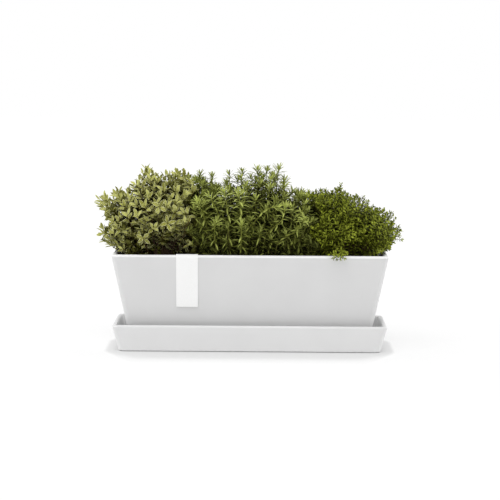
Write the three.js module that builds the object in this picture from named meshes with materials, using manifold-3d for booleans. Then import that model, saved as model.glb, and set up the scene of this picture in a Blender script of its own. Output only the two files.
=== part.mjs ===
// A rectangular planter in its saucer, with a plain card label folded over the front rim and three
// herbs growing in it. Millimetres, +Z up: X runs along the planter and the front faces -Y. The origin
// is the centre of the saucer's underside.
import * as THREE from "three";
import { mergeVertices } from "three/addons/utils/BufferGeometryUtils.js";
import Module from "manifold-3d";

// The pot, over its rim
const POT_LENGTH = 255;
const POT_DEPTH = 86;
const POT_HEIGHT = 86.1;
const POT_TAPER = 0.202; // how far each wall leans in, per millimetre down from the rim
const POT_WALL = 4.4; // measured level
const POT_FLOOR = 3.2;
const POT_CORNER = 5; // radius of the upright corners at the rim
const POT_CORNER_GROWTH = 1.5; // how much that radius gains by the foot
const RIM_ROUND = 1.8;
const POT_FOOT_ROUND = 1.5;

// The foot ring under the pot's floor, its water notches and the drain holes
const FOOT_HEIGHT = 2.2;
const FOOT_WIDTH = 6;
const NOTCH_WIDTH = 9;
const NOTCH_DEPTH = 1.5;
const NOTCH_PITCH = 55;
const DRAIN_DIAMETER = 5;
const DRAIN_PITCH = 55;
const DRAIN_ROW_GAP = 24;
const DRAINS_PER_ROW = 4;

// The saucer: a channel of this width runs round the pot, level with the saucer's rim
const SAUCER_HEIGHT = 24.5;
const SAUCER_CHANNEL = 8.6;
const SAUCER_TAPER = 0.249;
const SAUCER_WALL = 4;
const SAUCER_FLOOR = 3.2;
const SAUCER_CORNER = 4.5;
const SAUCER_CORNER_GROWTH = 0.5;
const SAUCER_FOOT_ROUND = 1.2;

// The label: a strip of card folded over the front rim
const LABEL_WIDTH = 20;
const LABEL_DROP = 48.5; // below the rim, outside
const LABEL_THICKNESS = 0.5;
const LABEL_PLACE = 0.274; // where its middle is, from the left end, of the pot's length
const LABEL_SOIL_GAP = 1.5; // the inner fold ends this far over the soil

// The soil and its root balls, which fill the pot side by side
const HEADSPACE = 9; // from the rim down to the soil
const SOIL_CROWN = 2; // how much higher the soil is in the middle of a root ball than at its edge
const MIDDLE_PLANT_WIDTH = 112; // the outer two share the rest of the pot

// The plants, over the rim and past it
const END_OVERHANG = 15.5; // past each end of the pot
const SIDE_OVERHANG = 4; // past the front and the back
const CROWN_RADIUS = 13; // the bundle of stems where a plant leaves the soil
const CROWN_FLARE = 1.5; // how much wider that bundle is where it meets the foliage
const FOLIAGE_RISE = 4; // the lowest leaves over the rim
const FOLIAGE_TOP = 79; // the tallest shoots over the rim
const WAIST_RISE = 24; // where a dome of foliage is widest, over the rim
const WAIST_DROP = 32; // how far a dome would draw in again under its widest place
const HEART_DEPTH = 5; // from the tips of the shoots in to the dense foliage
const HEART_UNEVEN = 0.08; // how far its facets stand in and out, of its reach
const HEART_RIPPLE = 13; // how closely they do
const SHOOT_START = 0.5; // how far out a shoot starts
const SHOOT_UNEVEN = 0.04; // how much shorter or longer the shoots are
const LOWEST_SHOOT = -0.3; // from 0 at a dome's widest place to -1 at its underside
const FIRST_SHOOT = 0.3; // where the first shoot is over that, of the rise from one to the next
const TALL_SHOOT = 0.88; // shoots that end this far up a dome have two pairs of leaves, the others one
const HIDDEN = 0.93; // a shoot is left off where it ends less far out in the next dome

// Leaves and shoots
const LEAF_SPAN = 0.25; // how far the leaves at a shoot's tip reach past it, of a leaf's length
const LEAF_BASE = 1.1; // how much of the stem a pair of leaves takes
const LEAF_YOUNGER = 0.35; // how much shorter the leaves at the tip are
const LAST_PAIR = 0.6; // from the last pair to the tip, of the distance between pairs
const STEM_THINNING = 0.5;
const BEND_PLACE = 0.55; // where a shoot bends upwards, along its length

// Clearances
const SEAT_GAP = 0.3; // between pieces that rest on each other
const ROOT_GAP = 0.4; // between a root ball and what is round it
const PLANT_GAP = 0.6; // between the foliage of neighbours

// Smoothness
const CORNER_STEPS = 4;
const ROUND_STEPS = 3;
const DRAIN_SIDES = 8;
const CROWN_SIDES = 9;
const HEART_STEPS = 3;
const MERGE_DISTANCE = 1e-4;

const potSeat = SAUCER_FLOOR + SEAT_GAP;
const rimHeight = potSeat + POT_HEIGHT;
const soilHeight = rimHeight - HEADSPACE;
const QUARTER = Math.PI / 2;
const GOLDEN_ANGLE = Math.PI * (3 - Math.sqrt(5));

const wasm = await Module();
wasm.setup();

// A closed geometry as a solid that can be joined and cut.
function toSolid(geometry) {
  geometry.deleteAttribute("normal");
  geometry.deleteAttribute("uv");
  const merged = mergeVertices(geometry, MERGE_DISTANCE);
  return new wasm.Manifold(
    new wasm.Mesh({
      numProp: 3,
      vertProperties: merged.attributes.position.array,
      triVerts: new Uint32Array(merged.index.array),
    }),
  );
}

function toMesh(name, solid, material) {
  const { vertProperties, triVerts } = solid.getMesh();
  const geometry = new THREE.BufferGeometry();
  geometry.setAttribute("position", new THREE.BufferAttribute(vertProperties, 3));
  geometry.setIndex(new THREE.BufferAttribute(triVerts, 1));
  const mesh = new THREE.Mesh(geometry, material);
  mesh.name = name;
  return mesh;
}

// A geometry from a list of points and the triangles that join them.
function fromPoints(points, index) {
  const geometry = new THREE.BufferGeometry().setFromPoints(points);
  geometry.setIndex(index);
  return geometry;
}

// A box between two corners.
function boxSolid(low, high) {
  const size = high.clone().sub(low);
  const box = new THREE.BoxGeometry(size.x, size.y, size.z);
  const centre = low.clone().add(high).multiplyScalar(0.5);
  return toSolid(box.translate(centre.x, centre.y, centre.z));
}

// The points of a level rounded rectangle, counter-clockwise from above.
function roundedRing(halfLength, halfDepth, radius, z) {
  const points = [];
  const corners = [[1, 1], [-1, 1], [-1, -1], [1, -1]];
  corners.forEach(([sx, sy], corner) => {
    for (let i = 0; i <= CORNER_STEPS; i++) {
      const angle = (corner + i / CORNER_STEPS) * QUARTER;
      points.push(
        new THREE.Vector3(
          sx * (halfLength - radius) + radius * Math.cos(angle),
          sy * (halfDepth - radius) + radius * Math.sin(angle),
          z,
        ),
      );
    }
  });
  return points;
}

// The closed solid through a stack of rings with equal counts, each end covered by a fan.
function loft(rings) {
  const count = rings[0].length;
  const index = [];
  for (let r = 0; r < rings.length - 1; r++) {
    for (let i = 0; i < count; i++) {
      const a = r * count + i;
      const b = r * count + ((i + 1) % count);
      index.push(a, b, b + count, a, b + count, a + count);
    }
  }
  const last = (rings.length - 1) * count;
  for (let i = 1; i < count - 1; i++) {
    index.push(0, i + 1, i);
    index.push(last, last + i, last + i + 1);
  }
  return toSolid(fromPoints(rings.flat(), index));
}

// Points on an arc of a wall's cross-section, as {out, z}: out is measured outwards from the rim.
function arcPoints(out, z, radius, from, to) {
  return Array.from({ length: ROUND_STEPS + 1 }, (_, i) => {
    const angle = from + ((to - from) * i) / ROUND_STEPS;
    return { out: out + radius * Math.cos(angle), z: z + radius * Math.sin(angle) };
  });
}

// How far out a tapered tub's outer face is at a height, measured from its rim.
const faceOut = (tub, z) => -tub.taper * (tub.base + tub.height - z);

// A tapered rectangular tub with rounded corners. Its wall's cross-section runs from under the floor,
// up the outer face, over the rounded rim and down the inner face to the floor inside.
function tubSolid(tub) {
  const lean = Math.atan(tub.taper);
  const slant = Math.cos(lean);
  const rim = tub.base + tub.height;
  const floorTop = tub.base + tub.floor;
  const footZ = tub.base + tub.footRound;
  const rimZ = rim - tub.rimRound;
  const rimSide = tub.rimRound / slant;
  const section = [
    ...arcPoints(faceOut(tub, footZ) - tub.footRound / slant, footZ, tub.footRound, -QUARTER, -lean),
    ...arcPoints(faceOut(tub, rimZ) - rimSide, rimZ, tub.rimRound, -lean, QUARTER),
    ...arcPoints(faceOut(tub, rimZ) - tub.wall + rimSide, rimZ, tub.rimRound, QUARTER, Math.PI - lean),
    ...arcPoints(
      faceOut(tub, floorTop + tub.footRound) - tub.wall - tub.footRound / slant,
      floorTop + tub.footRound,
      tub.footRound,
      -lean,
      -QUARTER,
    ),
  ];
  return loft(section.map(({ out, z }) => ringOf(tub, out, z)));
}

// The ring of a tub at a point of its cross-section: the corners keep one centre through the wall.
function ringOf(tub, out, z) {
  const face = tub.corner + (tub.cornerGrowth * (tub.base + tub.height - z)) / tub.height;
  const radius = Math.max(face + out - faceOut(tub, z), tub.rimRound / 2);
  return roundedRing(tub.length / 2 + out, tub.depth / 2 + out, radius, z);
}

// The space inside a tub from one height to another, held clear of its walls and floor.
function tubInside(tub, low, high, gap) {
  const ringAt = (z) => ringOf(tub, faceOut(tub, z) - tub.wall - gap, z);
  const filletTop = tub.base + tub.floor + tub.footRound + gap;
  const fillet = ringOf(tub, faceOut(tub, filletTop) - tub.wall - gap - tub.footRound, low);
  return loft([fillet, ringAt(filletTop), ringAt(high)]);
}

const potForm = {
  length: POT_LENGTH,
  depth: POT_DEPTH,
  height: POT_HEIGHT,
  base: potSeat,
  taper: POT_TAPER,
  wall: POT_WALL,
  floor: FOOT_HEIGHT + POT_FLOOR,
  corner: POT_CORNER,
  cornerGrowth: POT_CORNER_GROWTH,
  rimRound: RIM_ROUND,
  footRound: POT_FOOT_ROUND,
};

// The saucer's rim stands off the pot's face by the channel and its own wall.
const saucerReach = faceOut(potForm, SAUCER_HEIGHT) + SAUCER_CHANNEL + SAUCER_WALL;
const saucerForm = {
  length: POT_LENGTH + 2 * saucerReach,
  depth: POT_DEPTH + 2 * saucerReach,
  height: SAUCER_HEIGHT,
  base: 0,
  taper: SAUCER_TAPER,
  wall: SAUCER_WALL,
  floor: SAUCER_FLOOR,
  corner: SAUCER_CORNER,
  cornerGrowth: SAUCER_CORNER_GROWTH,
  rimRound: RIM_ROUND,
  footRound: SAUCER_FOOT_ROUND,
};

// The places of a row, centred on zero.
const rowOf = (count, pitch) => Array.from({ length: count }, (_, i) => (i - (count - 1) / 2) * pitch);

function potSolid() {
  const foot = faceOut(potForm, potSeat);
  const footLength = POT_LENGTH / 2 + foot;
  const footDepth = POT_DEPTH / 2 + foot;
  const under = potSeat - FOOT_HEIGHT;
  const floorUnder = potSeat + FOOT_HEIGHT;
  let pot = tubSolid(potForm);
  const recess = [under, floorUnder].map((z) =>
    roundedRing(footLength - FOOT_WIDTH, footDepth - FOOT_WIDTH, POT_CORNER, z),
  );
  pot = pot.subtract(loft(recess));
  for (const x of rowOf(2 * Math.floor(footLength / NOTCH_PITCH), NOTCH_PITCH)) {
    pot = pot.subtract(
      boxSolid(
        new THREE.Vector3(x - NOTCH_WIDTH / 2, -POT_DEPTH, under),
        new THREE.Vector3(x + NOTCH_WIDTH / 2, POT_DEPTH, potSeat + NOTCH_DEPTH),
      ),
    );
  }
  for (const x of rowOf(DRAINS_PER_ROW, DRAIN_PITCH)) {
    for (const y of rowOf(2, DRAIN_ROW_GAP)) {
      const drill = new THREE.CylinderGeometry(
        DRAIN_DIAMETER / 2,
        DRAIN_DIAMETER / 2,
        3 * POT_FLOOR,
        DRAIN_SIDES,
      );
      pot = pot.subtract(toSolid(drill.rotateX(QUARTER).translate(x, y, floorUnder + POT_FLOOR / 2)));
    }
  }
  return pot;
}

// The front wall's cross-section seen along X, at a distance from the plastic: up the outer face, over
// the rim and down the inner face. The card follows it.
function rimWrap(distance, drop, tuck) {
  const lean = Math.atan(POT_TAPER);
  const slant = Math.cos(lean);
  const radius = RIM_ROUND + distance;
  const centreZ = rimHeight - RIM_ROUND;
  const outerOut = faceOut(potForm, centreZ) - RIM_ROUND / slant;
  const innerOut = faceOut(potForm, centreZ) - POT_WALL + RIM_ROUND / slant;
  const over = [
    ...arcPoints(outerOut, centreZ, radius, -lean, QUARTER),
    ...arcPoints(innerOut, centreZ, radius, QUARTER, Math.PI - lean),
  ];
  const down = (point, depth) => ({
    out: point.out - POT_TAPER * (point.z - rimHeight + depth),
    z: rimHeight - depth,
  });
  const wrap = [down(over[0], drop), ...over, down(over[over.length - 1], tuck)];
  return wrap.map(({ out, z }) => new THREE.Vector2(-POT_DEPTH / 2 - out, z));
}

function labelSolid() {
  const tuck = HEADSPACE - LABEL_SOIL_GAP;
  const outer = rimWrap(SEAT_GAP + LABEL_THICKNESS, LABEL_DROP, tuck);
  const inner = rimWrap(SEAT_GAP, LABEL_DROP, tuck);
  const strip = new THREE.ExtrudeGeometry(new THREE.Shape([...outer, ...inner.reverse()]), {
    depth: LABEL_WIDTH,
    bevelEnabled: false,
  });
  strip.applyMatrix4(
    new THREE.Matrix4().makeBasis(
      new THREE.Vector3(0, 1, 0),
      new THREE.Vector3(0, 0, 1),
      new THREE.Vector3(1, 0, 0),
    ),
  );
  const middle = POT_LENGTH * (LABEL_PLACE - 0.5);
  return toSolid(strip.translate(middle - LABEL_WIDTH / 2, 0, 0));
}

// The stretch of the planter that each plant takes, along X.
const half = MIDDLE_PLANT_WIDTH / 2;
const stretches = {
  left: [-POT_LENGTH / 2, -half],
  middle: [-half, half],
  right: [half, POT_LENGTH / 2],
};

// A root ball: the pot's inside, cut to the plant's stretch, with its top mounded a little.
function rootBallSolid([from, to]) {
  const floorTop = potSeat + potForm.floor + ROOT_GAP;
  const insideEnd = POT_LENGTH / 2 + faceOut(potForm, soilHeight) - POT_WALL - ROOT_GAP;
  const low = Math.max(from + ROOT_GAP, -insideEnd);
  const high = Math.min(to - ROOT_GAP, insideEnd);
  const centre = (low + high) / 2;
  const halfDepth = POT_DEPTH / 2 + faceOut(potForm, soilHeight) - POT_WALL - ROOT_GAP;
  const halfLength = (high - low) / 2;
  const soil = tubInside(potForm, floorTop, soilHeight, ROOT_GAP);
  const block = boxSolid(
    new THREE.Vector3(from + ROOT_GAP, -POT_DEPTH, 0),
    new THREE.Vector3(to - ROOT_GAP, POT_DEPTH, rimHeight),
  );
  const edge = POT_CORNER;
  const mound = [
    [0, soilHeight - ROOT_GAP],
    [0, soilHeight],
    [edge, soilHeight + SOIL_CROWN],
  ].map(([inset, z]) =>
    roundedRing(halfLength - inset, halfDepth - inset, edge / 2, z).map((p) => p.setX(p.x + centre)),
  );
  return soil.intersect(block).add(loft(mound).intersect(block));
}

// The three herbs. Their leaves stand in opposite pairs on square stems, each pair turned a quarter
// from the last. The foliage of each is a few domes side by side: from and to are shares of the plant's
// stretch, which a dome may run past, and top is a share of the height of the tallest.
const plants = {
  left: {
    domes: [
      { from: 0.04, to: 1.15, top: 0.61, shoots: 0 },
      { from: 0, to: 0.6, top: 0.73, shoots: 34 },
      { from: 0.31, to: 1.12, top: 1, shoots: 50 },
    ],
    leafLength: 9,
    leafWidth: 5.6,
    pitch: 5,
    leafTilt: 0.45,
    stemRadius: 0.8,
    squareness: 0.72,
  },
  middle: {
    domes: [
      { from: -0.15, to: 1.15, top: 0.76, shoots: 0 },
      { from: -0.19, to: 0.3, top: 0.95, shoots: 32 },
      { from: 0.21, to: 0.87, top: 1, shoots: 48 },
      { from: 0.66, to: 1.12, top: 0.73, shoots: 25 },
    ],
    leafLength: 13,
    leafWidth: 3,
    pitch: 5.4,
    leafTilt: 0.75,
    stemRadius: 0.9,
    squareness: 0.72,
  },
  right: {
    domes: [
      { from: -0.15, to: 0.97, top: 0.51, shoots: 0 },
      { from: -0.12, to: 0.57, top: 0.77, shoots: 45 },
      { from: 0.2, to: 1, top: 0.56, shoots: 44 },
    ],
    leafLength: 6,
    leafWidth: 4,
    pitch: 4,
    leafTilt: 0.4,
    stemRadius: 0.8,
    squareness: 0.76,
  },
};

// A shoot along a curve: a square stem that thins to a point, with its pairs of leaves.
function shootSolid(curve, plant, pairs) {
  const length = curve.getLength();
  const points = [];
  const index = [];
  const ring = (at) => {
    const t = THREE.MathUtils.clamp(at / length, 0, 1);
    const centre = curve.getPointAt(t);
    const along = curve.getTangentAt(t);
    const u = new THREE.Vector3(along.z, 0, -along.x).normalize();
    const v = along.clone().cross(u);
    const radius = plant.stemRadius * (1 - STEM_THINNING * t);
    const base = points.length;
    for (let corner = 0; corner < 4; corner++) {
      const angle = (corner - 0.5) * QUARTER;
      points.push(
        centre
          .clone()
          .addScaledVector(u, radius * Math.cos(angle))
          .addScaledVector(v, radius * Math.sin(angle)),
      );
    }
    return { base, centre, along, sides: [u, v, u.clone().negate(), v.clone().negate()] };
  };
  // One side of the stem between two rings, bare.
  const stemSide = (lower, upper, side) => {
    const [a, b] = [lower.base + side, lower.base + ((side + 1) % 4)];
    const [c, d] = [upper.base + side, upper.base + ((side + 1) % 4)];
    index.push(a, b, d, a, d, c);
  };
  // One side of the stem between two rings, drawn out into a pointed leaf.
  const leafSide = (lower, upper, side, size) => {
    const [a, b] = [lower.base + side, lower.base + ((side + 1) % 4)];
    const [c, d] = [upper.base + side, upper.base + ((side + 1) % 4)];
    const out = lower.sides[side];
    const across = lower.along.clone().cross(out);
    const reach = plant.leafLength * size;
    const at = (share, sideways) =>
      lower.centre
        .clone()
        .addScaledVector(out, reach * share * Math.cos(plant.leafTilt))
        .addScaledVector(lower.along, reach * share * Math.sin(plant.leafTilt) + LEAF_BASE / 2)
        .addScaledVector(across, sideways);
    const left = points.push(at(0.5, (-plant.leafWidth * size) / 2)) - 1;
    const right = points.push(at(0.5, (plant.leafWidth * size) / 2)) - 1;
    const tip = points.push(at(1, 0)) - 1;
    index.push(c, left, tip, c, tip, d, d, tip, right);
    index.push(a, tip, left, a, b, tip, b, right, tip);
    index.push(a, left, c, b, d, right);
  };
  let lower = ring(0);
  index.push(lower.base, lower.base + 3, lower.base + 2, lower.base, lower.base + 2, lower.base + 1);
  for (let pair = 0; pair < pairs; pair++) {
    const at = length - (pairs - 1 - pair + LAST_PAIR) * plant.pitch;
    const foot = ring(at);
    const head = ring(at + LEAF_BASE);
    const size = 1 - (LEAF_YOUNGER * pair) / pairs;
    for (let side = 0; side < 4; side++) {
      stemSide(lower, foot, side);
      if (side % 2 === pair % 2) leafSide(foot, head, side, size);
      else stemSide(foot, head, side);
    }
    lower = head;
  }
  const tip = points.push(curve.getPointAt(1)) - 1;
  for (let side = 0; side < 4; side++) {
    index.push(lower.base + side, lower.base + ((side + 1) % 4), tip);
  }
  return toSolid(fromPoints(points, index));
}

// The i-th of a number of directions spread evenly over a dome, as shares of its reach along each axis.
// They are pushed out towards the corners of its box a little, so that the foliage is fuller than an egg.
function domeDirection(i, count, squareness) {
  const up = LOWEST_SHOOT + ((1 - LOWEST_SHOOT) * (i + FIRST_SHOOT)) / count;
  const level = Math.sqrt(1 - up * up);
  const angle = i * GOLDEN_ANGLE;
  return pushOut(new THREE.Vector3(level * Math.cos(angle), level * Math.sin(angle), up), squareness);
}

// A direction drawn from a ball's surface towards that of its box.
function pushOut(direction, squareness) {
  const push = (c) => Math.sign(c) * Math.abs(c) ** squareness;
  return new THREE.Vector3(push(direction.x), push(direction.y), push(direction.z));
}

// One dome of a plant's foliage: its centre, where it is widest, and its reach from there.
function domeForm(plant, { from, to, top }, low, high) {
  const margin = plant.leafLength * LEAF_SPAN;
  const across = (high - low) / 2;
  return {
    centre: new THREE.Vector3(low + across * (from + to), 0, rimHeight + WAIST_RISE),
    reach: new THREE.Vector3(
      across * (to - from) - margin,
      POT_DEPTH / 2 + SIDE_OVERHANG - margin,
      top * FOLIAGE_TOP - WAIST_RISE - margin,
    ),
  };
}

// The place at a direction and a share of the way out to a dome's surface.
function placeOn(dome, direction, share) {
  const place = direction.clone().multiply(dome.reach);
  if (direction.z < 0) place.z = direction.z * WAIST_DROP;
  return place.multiplyScalar(share).add(dome.centre);
}

// How far out a place above a dome's widest part is: 1 on its surface.
function shareIn(dome, place, squareness) {
  const way = place.clone().sub(dome.centre).divide(dome.reach);
  const power = 2 / squareness;
  const sum = Math.abs(way.x) ** power + Math.abs(way.y) ** power + Math.abs(way.z) ** power;
  return sum ** (1 / power);
}

// The dense foliage inside a dome, its facets standing in and out like tufts of leaves.
function heartSolid(dome, squareness) {
  const inner = { centre: dome.centre, reach: dome.reach.clone().subScalar(HEART_DEPTH) };
  const heart = new THREE.IcosahedronGeometry(1, HEART_STEPS);
  const corners = heart.attributes.position;
  for (let i = 0; i < corners.count; i++) {
    const corner = new THREE.Vector3().fromBufferAttribute(corners, i);
    const { x, y, z } = corner.clone().multiplyScalar(HEART_RIPPLE);
    const wave = Math.sin(x + z) * Math.cos(y - z);
    const place = placeOn(inner, pushOut(corner, squareness), 1 + HEART_UNEVEN * wave);
    corners.setXYZ(i, place.x, place.y, place.z);
  }
  return toSolid(heart);
}

// The bundle of stems between a plant's soil and the middle of its foliage.
function crownSolid([from, to]) {
  const low = soilHeight + SOIL_CROWN + SEAT_GAP;
  const high = rimHeight + WAIST_RISE;
  const wide = CROWN_FLARE * CROWN_RADIUS;
  const crown = new THREE.CylinderGeometry(wide, CROWN_RADIUS, high - low, CROWN_SIDES);
  return toSolid(crown.rotateX(QUARTER).translate((from + to) / 2, 0, (low + high) / 2));
}

// The i-th shoot of a dome, or nothing where it would end inside the next dome or past the plant's side.
function shootOn(dome, domes, i, plant, low, high) {
  const direction = domeDirection(i, dome.shoots, plant.squareness);
  const tip = placeOn(dome, direction, 1 - SHOOT_UNEVEN * (1 + Math.sin(i * dome.shoots)));
  const hidden = domes.some((other) => other !== dome && shareIn(other, tip, plant.squareness) < HIDDEN);
  if (hidden || tip.x < low || tip.x > high) return null;
  const start = dome.centre.clone().lerp(tip, SHOOT_START);
  const bend = start.clone().lerp(tip, BEND_PLACE);
  bend.z += plant.pitch / 2;
  const curve = new THREE.QuadraticBezierCurve3(start, bend, tip);
  return shootSolid(curve, plant, direction.z > TALL_SHOOT ? 2 : 1);
}

// One plant, as far as its own stretch: a bundle of stems on the soil, the dense foliage of its domes
// and the shoots that stand out all round. The foliage is cut level over the rim, and trimmed upright
// where it meets a neighbour, so that each plant lifts out past the next.
function plantSolid(plant, [from, to]) {
  const low = from + (from > -POT_LENGTH / 2 ? PLANT_GAP / 2 : -END_OVERHANG);
  const high = to - (to < POT_LENGTH / 2 ? PLANT_GAP / 2 : -END_OVERHANG);
  const domes = plant.domes.map((row) => ({ ...domeForm(plant, row, low, high), shoots: row.shoots }));
  const hearts = wasm.Manifold.union(domes.map((dome) => heartSolid(dome, plant.squareness)));
  const underside = boxSolid(
    new THREE.Vector3(-POT_LENGTH, -POT_DEPTH, 0),
    new THREE.Vector3(POT_LENGTH, POT_DEPTH, rimHeight + FOLIAGE_RISE),
  );
  const parts = [hearts.subtract(underside), crownSolid([from, to])];
  for (const dome of domes) {
    for (let i = 0; i < dome.shoots; i++) {
      const shoot = shootOn(dome, domes, i, plant, low, high);
      if (shoot) parts.push(shoot);
    }
  }
  const trim = boxSolid(
    new THREE.Vector3(low, -POT_DEPTH, 0),
    new THREE.Vector3(high, POT_DEPTH, rimHeight + POT_LENGTH),
  );
  return wasm.Manifold.union(parts).intersect(trim);
}

const plastic = new THREE.MeshStandardMaterial({
  color: 0xd9d9d9,
  roughness: 0.62,
  metalness: 0,
  flatShading: true,
});
const card = new THREE.MeshStandardMaterial({ color: 0xf8f8f6, roughness: 0.85, flatShading: true });
const soil = new THREE.MeshStandardMaterial({ color: 0x2c211a, roughness: 0.95, flatShading: true });
const leaves = {
  left: new THREE.MeshStandardMaterial({ color: 0x9aab74, roughness: 0.7, flatShading: true }),
  middle: new THREE.MeshStandardMaterial({ color: 0x6f9440, roughness: 0.6, flatShading: true }),
  right: new THREE.MeshStandardMaterial({ color: 0x5b8a2e, roughness: 0.65, flatShading: true }),
};
const plantNames = { left: "thyme_variegated", middle: "savory", right: "thyme_green" };

const planter = new THREE.Group();
planter.add(toMesh("saucer", tubSolid(saucerForm), plastic));
planter.add(toMesh("pot", potSolid(), plastic));
planter.add(toMesh("label_card", labelSolid(), card));
for (const [place, stretch] of Object.entries(stretches)) {
  planter.add(toMesh("root_ball_" + place, rootBallSolid(stretch), soil));
  planter.add(toMesh(plantNames[place], plantSolid(plants[place], stretch), leaves[place]));
}

export default planter;
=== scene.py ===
import math

import bmesh
import bpy
import numpy as np
from mathutils import Matrix, Vector
from mathutils.bvhtree import BVHTree
from mathutils.noise import fractal


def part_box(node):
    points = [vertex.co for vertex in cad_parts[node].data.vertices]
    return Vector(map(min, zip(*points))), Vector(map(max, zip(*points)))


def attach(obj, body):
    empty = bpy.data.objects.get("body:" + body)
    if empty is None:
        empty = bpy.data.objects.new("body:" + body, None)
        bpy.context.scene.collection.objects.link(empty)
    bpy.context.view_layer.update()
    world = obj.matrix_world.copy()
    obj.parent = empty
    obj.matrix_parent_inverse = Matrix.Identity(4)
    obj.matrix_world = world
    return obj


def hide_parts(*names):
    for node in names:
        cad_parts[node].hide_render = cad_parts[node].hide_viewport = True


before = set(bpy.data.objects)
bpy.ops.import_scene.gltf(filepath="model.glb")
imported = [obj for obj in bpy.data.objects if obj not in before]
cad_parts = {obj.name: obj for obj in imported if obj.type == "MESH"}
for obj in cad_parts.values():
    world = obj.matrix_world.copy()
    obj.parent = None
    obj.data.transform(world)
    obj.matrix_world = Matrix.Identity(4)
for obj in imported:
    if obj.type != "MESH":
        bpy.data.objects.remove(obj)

# Metres, in the frame of the CAD: +X along the planter, -Y to the front, +Z up.
MM = 0.001
UP = np.array([0.0, 0.0, 1.0])
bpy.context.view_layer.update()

# The camera, solved from the straight edges of the pot and the saucer in the photograph
PHOTO_PIXELS = 500
FOCAL_PIXELS = 2069.3
CAMERA_PLACE = (0.01242, -1.92488, 0.28022)
CAMERA_YAW, CAMERA_PITCH, CAMERA_ROLL = -0.0066, 0.0982, 0.0062
SENSOR_WIDTH = 36.0

# Where things are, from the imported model
rim_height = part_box("pot")[1].z
soil_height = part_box("root_ball_middle")[1].z
label_low, label_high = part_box("label_card")

# The pot's front wall, as in the CAD
FACE = -43.0 * MM
WALL = 4.4 * MM
POT_TAPER = 0.202
RIM_ROUND = 1.8 * MM


# Materials

def material(name, roughness, specular):
    """A new material, its node tree and its Principled shader."""
    made = bpy.data.materials.new(name)
    made.use_nodes = True
    shader = made.node_tree.nodes["Principled BSDF"]
    shader.inputs["Roughness"].default_value = roughness
    shader.inputs["Specular IOR Level"].default_value = specular
    return made, made.node_tree, shader


def node(tree, kind, inputs=None, **settings):
    """A node with its settings and inputs; an input is a value or another node's output."""
    made = tree.nodes.new(kind)
    for key, value in settings.items():
        setattr(made, key, value)
    for key, value in (inputs or {}).items():
        if isinstance(value, bpy.types.NodeSocket):
            tree.links.new(value, made.inputs[key])
        else:
            made.inputs[key].default_value = value
    return made


def own_place(tree):
    """The object's own coordinates."""
    return node(tree, "ShaderNodeTexCoord").outputs["Object"]


def part_of(tree, vector, axis):
    """One coordinate of a vector."""
    return node(tree, "ShaderNodeSeparateXYZ", {"Vector": vector}).outputs[axis]


def maths(tree, operation, first, second=0.0, clamp=False):
    """The result of an operation on one or two values, each a number or a node's output."""
    inputs = {0: first, 1: second}
    return node(tree, "ShaderNodeMath", inputs, operation=operation, use_clamp=clamp).outputs["Value"]


def noise(tree, scale, detail=2.0, distortion=0.0):
    """Noise over the object's own coordinates, from 0 to 1, with scale in cycles a metre."""
    inputs = {"Vector": own_place(tree), "Scale": scale, "Detail": detail, "Distortion": distortion}
    return node(tree, "ShaderNodeTexNoise", inputs).outputs["Fac"]


def ramp(tree, value, stops):
    """A colour ramp: stops are (position, colour)."""
    made = node(tree, "ShaderNodeValToRGB", {"Fac": value})
    elements = made.color_ramp.elements
    while len(elements) < len(stops):
        elements.new(0.5)
    for element, (position, colour) in zip(elements, stops):
        element.position = position
        element.color = (*colour, 1.0)
    return made.outputs["Color"]


def spread(tree, value, low, high, start=0.0, end=1.0, kind="LINEAR"):
    """A value that runs from start to end, taken to the range from low to high."""
    inputs = {"Value": value, "From Min": start, "From Max": end, "To Min": low, "To Max": high}
    return node(tree, "ShaderNodeMapRange", inputs, interpolation_type=kind).outputs["Result"]


def brightened(tree, colour, value):
    """A colour with its brightness multiplied by a value."""
    return node(tree, "ShaderNodeHueSaturation", {"Color": colour, "Value": value}).outputs["Color"]


def blend(tree, factor, first, second):
    """Two colours mixed by a factor; each may be a colour or a node's output."""
    pair = [each if isinstance(each, bpy.types.NodeSocket) else (*each, 1.0) for each in (first, second)]
    inputs = {0: factor, 6: pair[0], 7: pair[1]}
    return node(tree, "ShaderNodeMix", inputs, data_type="RGBA").outputs[2]


def bump(tree, shader, height, strength, distance):
    """Small relief on a shader's surface."""
    inputs = {"Height": height, "Strength": strength, "Distance": distance}
    made = node(tree, "ShaderNodeBump", inputs)
    tree.links.new(made.outputs["Normal"], shader.inputs["Normal"])


# The saucer is the same plastic as the pot; its paler grey is painted light
POT_GREY, SAUCER_GREY_WITH_PAINTED_LIGHT = 0.705, 0.76
CLOUDINESS = 0.015  # how far the grey strays to either side
# A painted highlight on the pot's rim: its grey, the height it starts at, and how far it blends in
RIM_HIGHLIGHT_GREY = 0.9
RIM_HIGHLIGHT_FROM, RIM_HIGHLIGHT_BLEND = 87.2 * MM, 0.8 * MM


def plastic(name, grey, rim_highlight=False):
    """Light grey moulded plastic: matte, with a fine grain and faint cloudiness. If asked, it is paler from
    a
    height just under its rim upwards: a painted highlight on the rim's top."""
    made, tree, shader = material(name, 0.5, 0.35)
    low, high = grey * (1 - CLOUDINESS), grey * (1 + CLOUDINESS)
    colour = ramp(tree, noise(tree, 28.0, 3.0), [(0.3, (low,) * 3), (0.7, (high,) * 3)])
    # The painted highlight along the top of the rim
    if rim_highlight:
        height = part_of(tree, own_place(tree), "Z")
        share = spread(tree, height, 0.0, 1.0, RIM_HIGHLIGHT_FROM, RIM_HIGHLIGHT_FROM + RIM_HIGHLIGHT_BLEND)
        colour = blend(tree, share, colour, (RIM_HIGHLIGHT_GREY,) * 3)
    tree.links.new(colour, shader.inputs["Base Color"])
    grain = noise(tree, 2600.0, 4.0)
    tree.links.new(spread(tree, grain, 0.44, 0.6), shader.inputs["Roughness"])
    bump(tree, shader, grain, 0.12, 0.06 * MM)
    return made


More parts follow.
